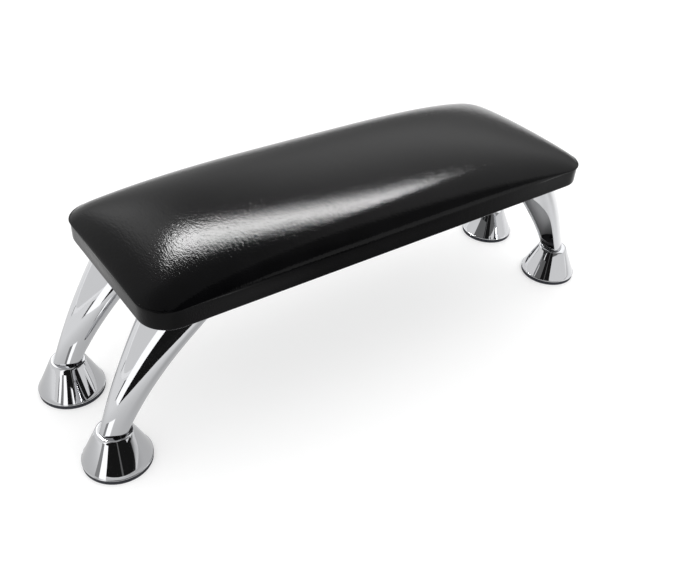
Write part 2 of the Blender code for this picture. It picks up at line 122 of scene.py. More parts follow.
# Cards that only the chrome and the leather mirror: places in plan, lower and upper edge, brightness
SCREEN_EDGE = (-0.428, -0.137)
SCREEN_END = (-0.589, -0.114)
OPENING_END = (-0.009, -0.373)
WING_CORNER = (0.2, -0.45)
CARD_TOP = 1.2
WING_FOOT = 0.15
SILL_TOP = 0.03
LIT = 1.7
UNLIT = 0.012
CARDS = {
    "dark_opening": ([SCREEN_EDGE, (-0.46, -0.30), (-0.34, -0.46), (-0.12, -0.48), OPENING_END],
                     0.0, CARD_TOP, UNLIT),
    "camera_stand": ([(-0.315, -0.40), (-0.285, -0.41)], 0.0, CARD_TOP, 0.16),
    "white_screen": ([SCREEN_END, SCREEN_EDGE], 0.0, 0.6, LIT),
    "screen_edge": ([(-0.589, -0.092), SCREEN_END], 0.0, 0.05, 0.12),
    "tent_seam": ([(-1.10, 0.42), (-1.07, 0.48)], 0.0, 0.06, 0.35),
    "dark_sill": ([OPENING_END, (0.11, -0.24)], 0.0, 0.034, UNLIT),
    "front_wing": ([OPENING_END, WING_CORNER], WING_FOOT, CARD_TOP, 0.15),
    "right_wing": ([WING_CORNER, (0.6, -0.45)], WING_FOOT, CARD_TOP, 0.35),
    "front_left_sill": ([(-0.2641, -0.0612), (-0.2582, -0.0724)], 0.0, SILL_TOP, LIT),
    "front_left_gap": ([(-0.2655, -0.0530), (-0.2641, -0.0612)], 0.0, SILL_TOP, 0.35),
    "back_left_sill": ([(-0.2545, 0.0094), (-0.2483, 0.0041)], 0.0, SILL_TOP, LIT),
    "back_left_gap": ([(-0.2582, 0.0138), (-0.2545, 0.0094)], 0.0, SILL_TOP, 0.3),
    "front_right_sill": ([(0.1763, -0.0455), (0.1791, -0.0607)], 0.0, SILL_TOP, 0.17),
    "back_right_sill": ([(0.1766, 0.0416), (0.1850, 0.0147)], 0.0, SILL_TOP, 0.17),
}
# Level cards: reach along and across, and height over the floor
FLAG = ((-0.4, 2.2), (-0.32, -0.07), 2 * MM)
FLAG_LIGHT = 0.28
LEFT_FLOOR = ((-2.0, -0.1), (-2.0, 1.0), 1 * MM)
LEFT_FLOOR_SHADE, LEFT_FLOOR_LIGHT = 0.66, 1.08
LEFT_FLOOR_CENTRE = (-0.12, -0.02, 0.0)
FLOOR_SPAN = (-6.0, 6.0)
OVERHEAD_PLACE = (0.1, 0.15, 2.0)
SOFTBOX_PLACE = (0.335, 0.485, 1.16)
SOFTBOX_AIM = (-0.085, 0.055, 0.15)
SOFTBOX_SIZE = (1.15, 0.22)


class RestSizes(bpy.types.PropertyGroup):
    """Sizes of the padded rest, at its upright band."""

    length: mm_property("Length", "Length of the rest at the band", 400)
    width: mm_property("Width", "Width of the rest at the band", 144)
    fullness: mm_property("Fullness", "How far the long sides stand out past that width", 1.8)
    corner: mm_property("Corner", "Corner radius in plan", 21.5)
    underside: metre_property("Underside", "Height of the rest's underside", COVER_LOW.z)
    band: mm_property("Band", "Height of the upright band under the crease", 13.5)
    crown: mm_property("Crown", "Height of the padded crown over the band", 26.8)
    side_power: number_property("Side power", "Flatness of the crown across the rest", 2.2)
    side_round: number_property("Side round", "Fullness of the roll along the sides", 0.47)
    end_power: number_property("End power", "Flatness of the crown along the rest", 3.6)
    end_round: number_property("End round", "Fullness of the slope at the ends", 1.0)
    end_roll: share_property("End roll", "Share of the crown that rolls down at the ends", 0.22)
    roll: mm_property("Roll", "How far the padding stands out over the band", 0.9)
    crease: mm_property("Crease", "Depth of the crease under the padding at the corners", 0.25)
    gather: mm_property("Gather", "How far the crease runs on from each corner", 34)
    hem: mm_property("Hem", "How far the rolled lower edge hangs under the board", 1.8)
    leather: mm_property("Leather", "Thickness of the leather", 1.2)
    turn_in: mm_property("Turn-in", "Leather turned in under the board", 16)
    swell: mm_property("Swell", "Most that the padding swells while it settles", 5)
    pressure: number_property("Pressure", "Pressure of the padding under the leather", 4.0)


class LegSizes(bpy.types.PropertyGroup):
    """Sizes of the horn legs."""

    base_lean: angle_property("Base lean", "Lean from upright at the foot", 23.3)
    top_lean: angle_property("Top lean", "Lean from upright under the rest", 40.4)
    side_lean: mm_property("Side lean", "How far the horn drifts towards the middle", 3.5)
    base_thickness: mm_property("Base thickness", "Thickness across the bend at the foot", 19.1)
    top_thickness: mm_property("Top thickness", "Thickness across the bend under the rest", 28.8)
    base_width: mm_property("Base width", "Width at the foot", 20.2)
    top_width: mm_property("Top width", "Width under the rest", 59.8)
    flare: number_property("Flare", "How early the horn widens, lower is earlier", 1.3)
    ridge: share_property("Ridge", "How far the horn narrows towards its outer side", 0.37)
    wall: mm_property("Wall", "Thickness of the pressed steel", 2)
    collar: mm_property("Collar", "Closed ring at the foot, under the opening", 3)
    opening: angle_property("Opening", "Half angle of the opening in the inner side", 49)
    opening_tip: angle_property("Opening tip", "Half angle at the tip of the opening's arch", 6)
    opening_arch: mm_property("Arch", "Height of the opening's arch", 37.5)
    opening_close: mm_property("Closed top", "Closed wall over the opening", 11)


class FootSizes(bpy.types.PropertyGroup):
    """Sizes of the cup feet."""

    place_x: metre_property("Place X", "Foot's distance from the middle along the rest",
                            (CUP_LOW.x + CUP_HIGH.x) / 2)
    place_y: metre_property("Place Y", "Foot's distance from the middle across the rest",
                            -(CUP_LOW.y + CUP_HIGH.y) / 2)
    radius: mm_property("Radius", "Radius of the cup at its lip", 25)
    top_radius: mm_property("Top radius", "Radius of the cup at its top", 12.8)
    height: metre_property("Height", "Height of the cup's top", CUP_HIGH.z)
    rim: metre_property("Rim", "Height of the cup's lower rim", CUP_LOW.z)
    wall: mm_property("Wall", "Thickness of the cup", 2)
    edge_round: mm_property("Edge", "Rounding of the cup's top edge", 2.4)
    lip: mm_property("Lip", "Height of the lip at the rim", 1.2)
    pad: mm_property("Pad", "Thickness of the rubber pad", 3)


class Finishes(bpy.types.PropertyGroup):
    """Colours of the finishes."""

    leather: colour_property("Leather", "Black synthetic leather", (0.0012, 0.0012, 0.0014))
    chrome: colour_property("Chrome", "Polished chrome", (0.59, 0.595, 0.61))
    zinc: colour_property("Zinc", "Zinc-plated steel", (0.58, 0.58, 0.57))
    # Plates and plugs are near-black as painted shade, so their edges sit dark under the rest
    shade_dark_zinc: colour_property("Shade-dark zinc", "Shade-dark zinc of plates and plugs", (0.045, 0.045, 0.05))
    rubber: colour_property("Rubber", "Dark rubber", (0.010, 0.012, 0.020))
    foam: colour_property("Foam", "Cream foam", (0.75, 0.68, 0.50))
    plywood: colour_property("Plywood", "Bare plywood", (0.52, 0.36, 0.20))
    fabric: colour_property("Dust cover", "Black non-woven sheet", (0.020, 0.020, 0.021))


class Studio(bpy.types.PropertyGroup):
    """Camera, floor and light."""

    camera_place: FloatVectorProperty(name="Camera", description="Where the camera stands",
                                      default=(-0.34209, -0.43915, 0.44742), subtype="TRANSLATION")
    camera_aim: FloatVectorProperty(name="Aim", description="Point on the floor that the camera looks at",
                                    default=(0.03376, 0.02789, 0.0), subtype="TRANSLATION")
    camera_roll: angle_property("Roll", "The camera's roll", 4.42)
    lens: number_property("Lens", "Focal length in millimetres", 41.585)
    floor: colour_property("Floor", "Pale floor", (0.56, 0.56, 0.56))
    floor_glow: number_property("Floor glow", "Light that the floor gives by itself", 0.46)
    tent: number_property("Tent", "Brightness of the white tent", 0.95)
    zenith: share_property("Zenith", "Share of the tent's brightness straight above", 0.5)
    overhead: number_property("Overhead", "Strength of the soft overhead light", 1.2)
    softbox: number_property("Softbox", "Brightness of the softbox over the far right side", 52.0)


class StandSettings(bpy.types.PropertyGroup):
    """All settings of the arm rest stand."""

    rest: PointerProperty(type=RestSizes)
    leg: PointerProperty(type=LegSizes)
    foot: PointerProperty(type=FootSizes)
    finish: PointerProperty(type=Finishes)
    studio: PointerProperty(type=Studio)


class Wire:
    """A node socket that works in Python expressions.

    +, - and * with numbers or other wires add Math nodes; node() adds any other node.
    """

    def __init__(self, tree, socket=None):
        self.tree = tree
        self.socket = socket

    def node(self, kind, settings=None, sockets=None, out=0):
        """Add a node: its settings first, then a value or a wire for each socket."""
        made = self.tree.nodes.new(kind)
        for key, value in (settings or {}).items():
            setattr(made, key, value)
        for key, value in (sockets or {}).items():
            if isinstance(value, Wire):
                self.tree.links.new(value.socket, made.inputs[key])
            else:
                made.inputs[key].default_value = value
        return Wire(self.tree, made.outputs[out])

    def math(self, operation, a, b):
        """One Math node."""
        return self.node("ShaderNodeMath", {"operation": operation}, {0: a, 1: b})

    def __add__(self, other):
        return self.math("ADD", self, other)

    def __sub__(self, other):
        return self.math("SUBTRACT", self, other)

    def __rsub__(self, other):
        return self.math("SUBTRACT", other, self)

    def __mul__(self, other):
        return self.math("MULTIPLY", self, other)

    __radd__ = __add__
    __rmul__ = __mul__

    def axis(self, number):
        """X, Y or Z of a vector wire, as 0, 1 or 2."""
        return self.node("ShaderNodeSeparateXYZ", None, {0: self}, out=number)

    def step(self, low, high):
        """0 under low, 1 over high, and a smooth rise between."""
        return self.node("ShaderNodeMapRange", {"interpolation_type": "SMOOTHSTEP"},
                         {"Value": self, "From Min": low, "From Max": high})

    def noise(self, scale, detail, roughness, distortion=0.0):
        """Noise on a vector wire."""
        return self.node("ShaderNodeTexNoise", None, {"Vector": self, "Scale": scale, "Detail": detail,
                                                      "Roughness": roughness, "Distortion": distortion})

    def cells(self, scale, randomness=1.0):
        """Distance in a cell pattern on a vector wire."""
        return self.node("ShaderNodeTexVoronoi", None,
                         {"Vector": self, "Scale": scale, "Randomness": randomness})

    def stretched(self, scale, turn=(0.0, 0.0, 0.0)):
        """A vector wire turned and scaled."""
        return self.node("ShaderNodeMapping", None, {"Vector": self, "Scale": scale, "Rotation": turn})

    def blend(self, low, high):
        """A colour between two, by this wire kept between 0 and 1."""
        return self.node("ShaderNodeMix", {"data_type": "RGBA"}, {0: self, 6: low, 7: high}, out=2)

    def bump(self, strength, distance):
        """A normal from this height."""
        return self.node("ShaderNodeBump", None,
                         {"Height": self, "Strength": strength, "Distance": distance})


def finish(name, sockets, build=None):
    """A Principled material: plain sockets, then the wires that build(places) gives by socket name."""
    old = bpy.data.materials.get(name)
    if old is not None:
        return old
    made = bpy.data.materials.new(name)
    made.use_nodes = True
    tree = made.node_tree
    shader = tree.nodes["Principled BSDF"]
    for key, value in sockets.items():
        shader.inputs[key].default_value = value
    if build is not None:
        places = Wire(tree).node("ShaderNodeTexCoord", out="Object")
        for key, wire in build(places).items():
            tree.links.new(wire.socket, shader.inputs[key])
    return made


def shade(colour, factor=1.0):
    """A colour property as a four-number shader value, scaled."""
    return (*[channel * factor for channel in colour], 1.0)


def leather_finish(colour):
    """Glossy black synthetic leather: fine grain, crinkles across the rest, cloudy gloss."""
    def build(places):
        pebbles = places.cells(900.0)
        fine = places.noise(1500.0, 3.0, 0.6)
        crinkle = places.stretched((1.0, 0.28, 0.45), (0.0, 0.0, 0.35)).noise(950.0, 1.5, 0.5, 0.4)
        long_crinkle = places.stretched((1.0, 0.1, 0.3), (0.0, 0.0, -0.2)).noise(260.0, 1.0, 0.5, 0.8)
        cloud = places.noise(45.0, 3.0, 0.55)
        grain = pebbles * 0.2 + fine * 0.1 + crinkle * 0.6 + long_crinkle * 0.3
        return {
            "Base Color": cloud.step(0.3, 0.75).blend(shade(colour), shade(colour, 1.6)),
            "Roughness": 0.07 + cloud * 0.04 + fine * 0.02,
            "Normal": grain.bump(0.75, 0.2 * MM),
        }
    return finish("black_leather_dressed", {"IOR": 1.2}, build)


def chrome_finish(colour):
    """Mirror chrome with a faint ripple and a little haze; inside the horns duller, as unpolished plating,
    and darker, as painted shade of the hollow.
    """
    def build(places):
        ripple = places.noise(38.0, 1.0, 0.4)
        haze = places.noise(160.0, 3.0, 0.6)
        scratch = places.stretched((1.0, 1.0, 0.06)).noise(900.0, 2.0, 0.5)
        inside = places.node("ShaderNodeAttribute", {"attribute_name": "inside"}, None, out="Fac")
        return {
            # Inside the horns the colour falls to 0.7: painted shade of the hollow; the added roughness and
            # lower metal are the duller unpolished inside
            "Base Color": (haze * 0.06 + inside).blend(shade(colour), shade(colour, 0.7)),
            "Roughness": 0.02 + haze * 0.03 + scratch.step(0.62, 0.8) * 0.03 + inside * 0.42,
            "Metallic": 1.0 - inside * 0.5,
            "Normal": ripple.bump(0.06, 1 * MM),
        }
    return finish("polished_chrome_dressed", {"Metallic": 1.0}, build)


def zinc_finish(colour, name="zinc_plated_steel_dressed"):
    """Zinc plate: cloudy grey with a soft spangle."""
    def build(places):
        spangle = places.cells(420.0)
        cloud = places.noise(120.0, 4.0, 0.6)
        tone = spangle * 0.5 + cloud * 0.6
        return {
            "Base Color": tone.blend(shade(colour, 0.72), shade(colour, 1.15)),
            "Roughness": 0.26 + cloud * 0.22,
            "Normal": cloud.bump(0.1, 0.4 * MM),
        }
    return finish(name, {"Metallic": 1.0}, build)


def rubber_finish(colour):
    """Matt dark rubber with a fine moulded grain and a little dust."""
    def build(places):
        grain = places.noise(1400.0, 3.0, 0.6)
        dust = places.noise(210.0, 4.0, 0.65).step(0.55, 0.85)
        return {
            "Base Color": (dust * 0.5).blend(shade(colour), (0.05, 0.05, 0.055, 1.0)),
            "Roughness": 0.55 + grain * 0.25,
            "Normal": grain.bump(0.25, 0.2 * MM),
        }
    return finish("dark_rubber_dressed", {}, build)


def foam_finish(colour):
    """Open-cell foam: a cream body with small pores, darkened as painted shade in the cells."""
    def build(places):
        pores = places.cells(700.0)
        return {
            # The pores drop to 0.55 of the cream: painted shade in the open cells
            "Base Color": pores.step(0.05, 0.5).blend(shade(colour, 0.55), shade(colour)),
            "Roughness": 0.9 + pores * 0.1,
            "Normal": pores.bump(0.6, 0.6 * MM),
        }
    return finish("cream_foam_dressed", {}, build)


def plywood_finish(colour):
    """Plywood: grain along the board and plies of 2 mm by height."""
    def build(places):
        plies = places.axis(2) * (1 / (2 * MM))
        ply = plies.math("PINGPONG", plies, 1.0).step(0.35, 0.65)
        grain = places.stretched((0.08, 1.0, 1.0)).noise(160.0, 5.0, 0.6, 1.2)
        return {
            "Base Color": (ply * 0.35 + grain * 0.65).blend(shade(colour, 0.6), shade(colour, 1.15)),
            "Roughness": 0.6 + grain * 0.25,
            "Normal": grain.bump(0.2, 0.4 * MM),
        }
    return finish("plywood_dressed", {}, build)


def fabric_finish(colour):
    """Black non-woven sheet: matted fibres and a grid of small bond points."""
    def build(places):
        fibre = places.stretched((1.0, 0.25, 1.0), (0, 0, 0.6)).noise(1700.0, 3.0, 0.7, 1.5)
        bonds = places.cells(420.0, randomness=0.15).step(0.12, 0.3)
        return {
            "Base Color": fibre.step(0.35, 0.75).blend(shade(colour, 0.6), shade(colour, 1.9)),
            "Roughness": 0.75 + fibre * 0.2,
            "Normal": (fibre * 0.5 + bonds).bump(0.5, 0.3 * MM),
        }
    return finish("black_non_woven_dressed", {}, build)


def grid_faces(rows, columns, wrap_rows=False, wrap_columns=True):
    """Quads of a grid of points numbered row by row, closed along the ways that wrap."""
    row = np.arange(rows if wrap_rows else rows - 1)[:, None]
    column = np.arange(columns if wrap_columns else columns - 1)[None, :]
    next_row = (row + 1) % rows
    next_column = (column + 1) % columns
    corners = [row * columns + column, row * columns + next_column,
               next_row * columns + next_column, next_row * columns + column]
    return np.stack(corners, axis=-1).reshape(-1, 4)


def closed_below(rows, columns):
    """The faces of a grid, with one more that closes its first row."""
    return list(grid_faces(rows, columns)) + [np.arange(columns)[::-1]]


def mesh_of(name, points, faces, sharp=math.radians(40)):
    """A smooth mesh with doubles merged, so poles and seams close, and faces outwards."""
    mesh = bpy.data.meshes.new(name)
    mesh.from_pydata(np.asarray(points).reshape(-1, 3).tolist(), [], [list(face) for face in faces])
    bm = bmesh.new()
    bm.from_mesh(mesh)
    bmesh.ops.remove_doubles(bm, verts=bm.verts, dist=2e-6)
    bmesh.ops.recalc_face_normals(bm, faces=bm.faces)
    bm.to_mesh(mesh)
    bm.free()
    mesh.shade_smooth()
    mesh.set_sharp_from_angle(angle=sharp)
    return mesh


def linked(data):
    """A new object in the scene for a mesh, a light or a camera, with its name."""
    made = bpy.data.objects.new(data.name, data)
    bpy.context.scene.collection.objects.link(made)
    return made


def add_piece(mesh, mat, replaced):
    """Link a finished piece, ride it on the stand and let it stand for its CAD nodes."""
    mesh.materials.append(mat)
    piece = linked(mesh)
    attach(piece, "root")
    if replaced:
        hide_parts(*replaced)
    return piece


def add_surface(name, points, mat, replaced, wrap_rows=False):
    """A piece from a grid of points that closes along its rows."""
    return add_piece(mesh_of(name, points, grid_faces(*points.shape[:2], wrap_rows)), mat, replaced)


def dress_node(node, mat):
    """Give a CAD node that stays its finish."""
    materials = bpy.data.objects[node].data.materials
    materials.clear()
    materials.append(mat)


def turned(profile, centre, steps):
    """A turned surface: (radius, height) points carried round a vertical axis, as a grid of points."""
    profile = np.asarray(profile)
    angle = np.linspace(0.0, math.tau, steps, endpoint=False)
    radius, height = profile[:, :1], profile[:, 1:]
    x = centre[0] + radius * np.cos(angle)
    y = centre[1] + radius * np.sin(angle)
    return np.stack([x, y, np.broadcast_to(height, x.shape)], axis=-1)


def arc(centre, radius, start, end, steps):
    """Points of a round edge in a (radius, height) profile, by angles in degrees."""
    angle = np.radians(np.linspace(start, end, steps))
    return np.stack([centre[0] + radius * np.cos(angle), centre[1] + radius * np.sin(angle)], axis=-1)


def quarter_marks(end, corner, side):
    """Marks round a quarter of a rounded rectangle: hub shares in x and y, and the corner's angle.

    From the middle of the end to the middle of the long side; (1, share, 0), then (1, 1, angle), then
    (share, 1, 90 degrees).
    """
    run = np.linspace(0.0, 1.0, end, endpoint=False)
    turn = np.linspace(0.0, math.pi / 2, corner, endpoint=False)
    rest = np.linspace(1.0, 0.0, side, endpoint=False)
    share_x = np.concatenate([np.ones(end + corner), rest])
    share_y = np.concatenate([run, np.ones(corner + side)])
    angle = np.concatenate([np.zeros(end), turn, np.full(side, math.pi / 2)])
    return share_x, share_y, angle


def rest_outlines(length, width, corner, marks):
    """Rounded rectangles, one row each: hub shares times (half size - corner), plus the corner's arc."""
    share_x, share_y, angle = quarter_marks(*marks)
    length, width, corner = [np.asarray(size)[:, None] for size in (length, width, corner)]
    x = (length / 2 - corner) * share_x + corner * np.cos(angle)
    y = (width / 2 - corner) * share_y + corner * np.sin(angle)
    # The second quarter mirrors the first, from the long side's middle on; a half turn gives the others
    half_x = np.concatenate([x, 0 * width, -x[:, :0:-1]], axis=1)
    half_y = np.concatenate([y, width / 2, y[:, :0:-1]], axis=1)
    return np.concatenate([half_x, -half_x], axis=1), np.concatenate([half_y, -half_y], axis=1)


def reach(offset, half, cross_half, corner):
    """Half size of a rounded rectangle along one way, at offsets along the other way."""
    beyond = np.clip(np.abs(offset) - (cross_half - corner), 0.0, corner)
    return half - corner + np.sqrt(corner ** 2 - beyond ** 2)


def crown_height(x, y, rest, length, width, corner):
    """The padding's height over the band: crown * end(u) * (1 - w ** side power) ** side round.

    u and w are the shares of the way from the middle to the outline, along and across the rest, and
    end(u) = (1 - roll) * (1 - u ** end power) ** end round + roll * sqrt(1 - u ** roll power).
    """
    along = np.minimum(np.abs(x) / reach(y, length / 2, width / 2, corner), 1.0)
    across = np.minimum(np.abs(y) / reach(x, width / 2, length / 2, corner), 1.0)
    slope = (1 - along ** rest.end_power) ** rest.end_round
    end = slope + rest.end_roll * ((1 - along ** END_ROLL_POWER) ** 0.5 - slope)
    side = (1 - across ** rest.side_power) ** rest.side_round
    return rest.crown * end * side


def crown_skin(rest, marks, count, shrink=0.0):
    """Rows over the crown from the roll in to the ridge.

    Row i has share s = (i / (count - 1)) ** 2 of the way in; its outline is smaller by s * width both ways
    and its corner by the share s, and the height comes from crown_height.
    """
    length = rest.length + 2 * (rest.roll - shrink)
    width = rest.width + 2 * (rest.fullness + rest.roll - shrink)
    corner = rest.corner + rest.roll - shrink
    share = np.linspace(0.0, 1.0, count) ** 2
    x, y = rest_outlines(length - share * width, width - share * width, corner * (1 - share), marks)
    z = rest.underside + rest.band + crown_height(x, y, rest, length, width, corner)
    return np.stack([x, y, z], axis=-1)


def band_skin(rest, marks):
    """Rows from the turned-in edge under the board, round the hem and up the band to the padding.

    From the fold to the hem's round edge the leather drops by hem * (1 - s ** 2), with s from 1 to 0. The
    band meets the padding in a crease at the corners, where the leather gathers, and in a smooth roll
    elsewhere: each point is smooth + gather * (creased - smooth), where gather is 1 close to a corner.
    """
    low = rest.underside
    top = low + rest.band
    hem = low - rest.hem
    width = rest.width + 2 * rest.fullness
    edge, fold = 1.8 * MM, 4 * MM
    turn = np.radians((0, 20, 45, 70, 90))
    crease_at, crease_reach = 0.96, 0.06
    under = [(fold + (rest.turn_in - fold) * s, low) for s in (1.0, 0.66, 0.33, 0.1)]
    under += [(edge + (fold - edge) * s, low - rest.hem * (1 - s * s)) for s in (0.9, 0.5)]
    under += [(edge * (1 - math.sin(a)), hem + edge * (1 - math.cos(a))) for a in turn]
    rise = np.concatenate([np.linspace(0.15, 0.84, 6), [0.91, crease_at]])
    height = hem + edge + (top - hem - edge) * rise
    dip = rest.crease * np.exp(-((rise - crease_at) / crease_reach) ** 2)
    bulge = -rest.roll * np.sin(rise * math.pi / 2) ** 2
    skins = []
    for inset in (bulge, dip):
        rows = np.concatenate([under, np.stack([inset, height], axis=-1)])
        inward = rows[:, 0]
        x, y = rest_outlines(rest.length - 2 * inward, width - 2 * inward, rest.corner - inward, marks)
        skins.append(np.stack([x, y, np.broadcast_to(rows[:, 1:], x.shape)], axis=-1))
    smooth, creased = skins
    hub = np.array([rest.length / 2 - rest.corner, width / 2 - rest.corner])
    short = np.minimum(np.abs(smooth[..., :2]) - hub, 0)
    away = np.hypot(short[..., 0], short[..., 1])
    gather = np.exp(-(away / rest.gather) ** 2)[..., None]
    return smooth + gather * (creased - smooth)


def settle(points, faces, held, pressure, most):
    """Swell a closed skin with cloth and return its points, none moved further than most.

    A shift d becomes most * tanh(|d| / most) along its own way, so the limit leaves no step.
    """
    mesh = bpy.data.meshes.new("settling_skin")
    mesh.from_pydata(points.tolist(), [], [list(face) for face in faces])
    skin = linked(mesh)
    group = skin.vertex_groups.new(name="held")
    for weight in np.unique(held[held > 0]):
        group.add(np.flatnonzero(held == weight).tolist(), float(weight), "REPLACE")
    cloth = skin.modifiers.new("Settle", "CLOTH")
    cloth.settings.vertex_group_mass = "held"
    cloth.settings.use_pressure = True
    cloth.settings.uniform_pressure_force = pressure
    cloth.settings.effector_weights.gravity = 0.0
    cloth.settings.tension_stiffness = 25.0
    cloth.settings.compression_stiffness = 25.0
    cloth.settings.bending_stiffness = 1.5
    cloth.point_cache.frame_end = SETTLE_FRAMES
    for number in range(1, SETTLE_FRAMES + 1):
        bpy.context.scene.frame_set(number)
    evaluated = skin.evaluated_get(bpy.context.evaluated_depsgraph_get())
    moved = np.empty(len(points) * 3)
    evaluated.data.vertices.foreach_get("co", moved)
    bpy.data.objects.remove(skin)
    bpy.context.scene.frame_set(1)
    shift = moved.reshape(-1, 3) - points
    far = np.linalg.norm(shift, axis=1, keepdims=True) + 1e-9
    return points + shift / far * most * np.tanh(far / most)


class ARMREST_OT_rest(bpy.types.Operator):
    """Build the leather skin over the padding, and the foam pillow under it"""

    bl_idname = "armrest.rest"
    bl_label = "Padded rest"

    def execute(self, context):
        stand = context.scene.arm_rest
        rest = stand.rest
        skin = np.concatenate([band_skin(rest, SKIN_MARKS), crown_skin(rest, SKIN_MARKS, SKIN_ROWS)])
        points = skin.reshape(-1, 3)
        crease = rest.underside + rest.band
        grip, fade = 1.0 * MM, 4 * MM
        held = np.clip(1.0 - (points[:, 2] - crease - grip) / fade, 0.0, 1.0).round(2)
        points = settle(points, closed_below(*skin.shape[:2]), held, rest.pressure, rest.swell)
        mesh = mesh_of("leather_skin", points, grid_faces(*skin.shape[:2]), math.radians(75))
        leather = leather_finish(stand.finish.leather)
        cover = add_piece(mesh, leather, ["leather_cover"])
        soft = cover.modifiers.new("Soft", "SUBSURF")
        soft.levels = 1
        soft.render_levels = 1
        wall = cover.modifiers.new("Leather", "SOLIDIFY")
        wall.thickness = rest.leather
        wall.offset = -1.0

        side_gap, top_gap, board_gap = 3 * MM, 2 * MM, 0.3 * MM
        crown = crown_skin(rest, FOAM_MARKS, FOAM_ROWS, side_gap)
        crown[..., 2] -= top_gap
        foot = crown[:1].copy()
        foot[..., 2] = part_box("base_board")[1].z + board_gap
        pillow = np.concatenate([foot, crown])
        mesh = mesh_of("foam_pillow", pillow, closed_below(*pillow.shape[:2]))
        foam = add_piece(mesh, foam_finish(stand.finish.foam), ["foam_core"])
        return {"FINISHED"}


def opening_half(rise, leg, height):
    """Half angle of the opening in a horn's inner side, at rises over the foot.

    It is even up to the arch and goes with sqrt(1 - u ** 2) up the arch. Over the arch the wall is closed,
    and the angle only spaces the grid.
    """
    high = height - leg.opening_close
    up = np.clip((rise - high + leg.opening_arch) / leg.opening_arch, 0.0, 1.0)
    over = np.clip((rise - high) / leg.opening_close, 0.0, 1.0)
    half = np.maximum(leg.opening * np.sqrt(1 - up ** 2), leg.opening_tip)
    return half + (leg.opening / 2 - leg.opening_tip) * over


def horn_skin(leg, foot, signs, rise, inset):
    """One skin of a horn as a grid: from one lip of the opening round the outer side, then across it.

    At rise r over the foot the lean a has sin(a) = sin(base) + r / R, the centre has moved in by
    R (cos(base) - cos(a)), and the level cut has half sizes thickness / (2 cos(a)) and width / 2, where the
    width grows with (r / height) ** flare. Round the cut, x goes with cos(t) and y with
    sin(t) * (1 - ridge * cos(t)), so the outer side, at t = 0, is narrower.
    """
    low, high = HORN_LOW.z, HORN_HIGH.z
    radius = (high - low) / (math.sin(leg.top_lean) - math.sin(leg.base_lean))
    rise = rise[:, None]
    share = rise / (high - low)
    lean = np.arcsin(math.sin(leg.base_lean) + rise / radius)
    run = radius * (math.cos(leg.base_lean) - np.cos(lean))
    thickness = leg.base_thickness + (leg.top_thickness - leg.base_thickness) * share
    width = leg.base_width + (leg.top_width - leg.base_width) * share ** leg.flare
    lip = math.pi - opening_half(rise, leg, high - low)
    round_wall = lip * np.linspace(-1.0, 1.0, HORN_SIDES[0] + 1)
    over_opening = lip + 2 * (math.pi - lip) * np.linspace(0.0, 1.0, HORN_SIDES[1] + 1)[1:-1]
    angle = np.concatenate([round_wall, over_opening], axis=1)
    fullest = -2 * leg.ridge / (1 + math.sqrt(1 + 8 * leg.ridge ** 2))
    widest = math.sqrt(1 - fullest ** 2) * (1 - leg.ridge * fullest)
    across = np.sin(angle) * (1 - leg.ridge * np.cos(angle)) / widest
    x = signs[0] * (foot.place_x - run + (thickness / 2 - inset) / np.cos(lean) * np.cos(angle))
    y = signs[1] * (foot.place_y - leg.side_lean * share) + (width / 2 - inset) * across
    return np.stack([x, y, np.broadcast_to(low + rise, x.shape)], axis=-1)


def horn_surface(leg, foot, signs):
    """A hollow horn: its outer and inner skins, joined at both ends and round the opening.

    Gives the points, the faces, and which points lie inside.
    """
    height = HORN_HIGH.z - HORN_LOW.z
    high = height - leg.opening_close
    spring = high - leg.opening_arch
    rise = np.concatenate([
        [0.0, leg.collar / 2],
        np.linspace(leg.collar, spring, HORN_ROWS[0], endpoint=False),
        spring + leg.opening_arch * np.sin(np.linspace(0.0, math.pi / 2, HORN_ROWS[1])),
        np.linspace(high, height, HORN_ROWS[2])[1:],
    ])
    skins = np.stack([horn_skin(leg, foot, signs, rise, inset) for inset in (0.0, leg.wall)])
    rows, columns = skins.shape[1:3]
    cells = grid_faces(rows, columns).reshape(rows - 1, columns, 4)
    middle = (rise[:-1] + rise[1:]) / 2
    walled = np.ones((rows - 1, columns), dtype=bool)
    walled[(middle > leg.collar) & (middle < high), HORN_SIDES[0]:] = False
    outer = cells[walled]
    count = rows * columns
    edges = np.concatenate([outer[:, [side, (side + 1) % 4]] for side in range(4)])
    border = ~np.isin(edges @ np.array([count, 1]), edges @ np.array([1, count]))
    start, end = edges[border].T
    rim = np.stack([end, start, start + count, end + count], axis=-1)
    faces = np.concatenate([outer, outer[:, ::-1] + count, rim])
    used, faces = np.unique(faces, return_inverse=True)
    return skins.reshape(-1, 3)[used], faces.reshape(-1, 4), used >= count


class ARMREST_OT_legs(bpy.types.Operator):
    """Build the four chromed horn legs"""

    bl_idname = "armrest.legs"
    bl_label = "Horn legs"

    def execute(self, context):
        stand = context.scene.arm_rest
        chrome = chrome_finish(stand.finish.chrome)
        for corner, signs in CORNERS.items():
            points, faces, inside = horn_surface(stand.leg, stand.foot, signs)
            mesh = mesh_of(corner + "_horn", points, faces)
            # The inside mark also darkens the chrome there, as painted shade of the hollow
            mark = mesh.attributes.new("inside", "FLOAT", "POINT")
            mark.data.foreach_set("value", inside.astype(np.float32))
            add_piece(mesh, chrome, [corner + "_leg_horn"])
        return {"FINISHED"}


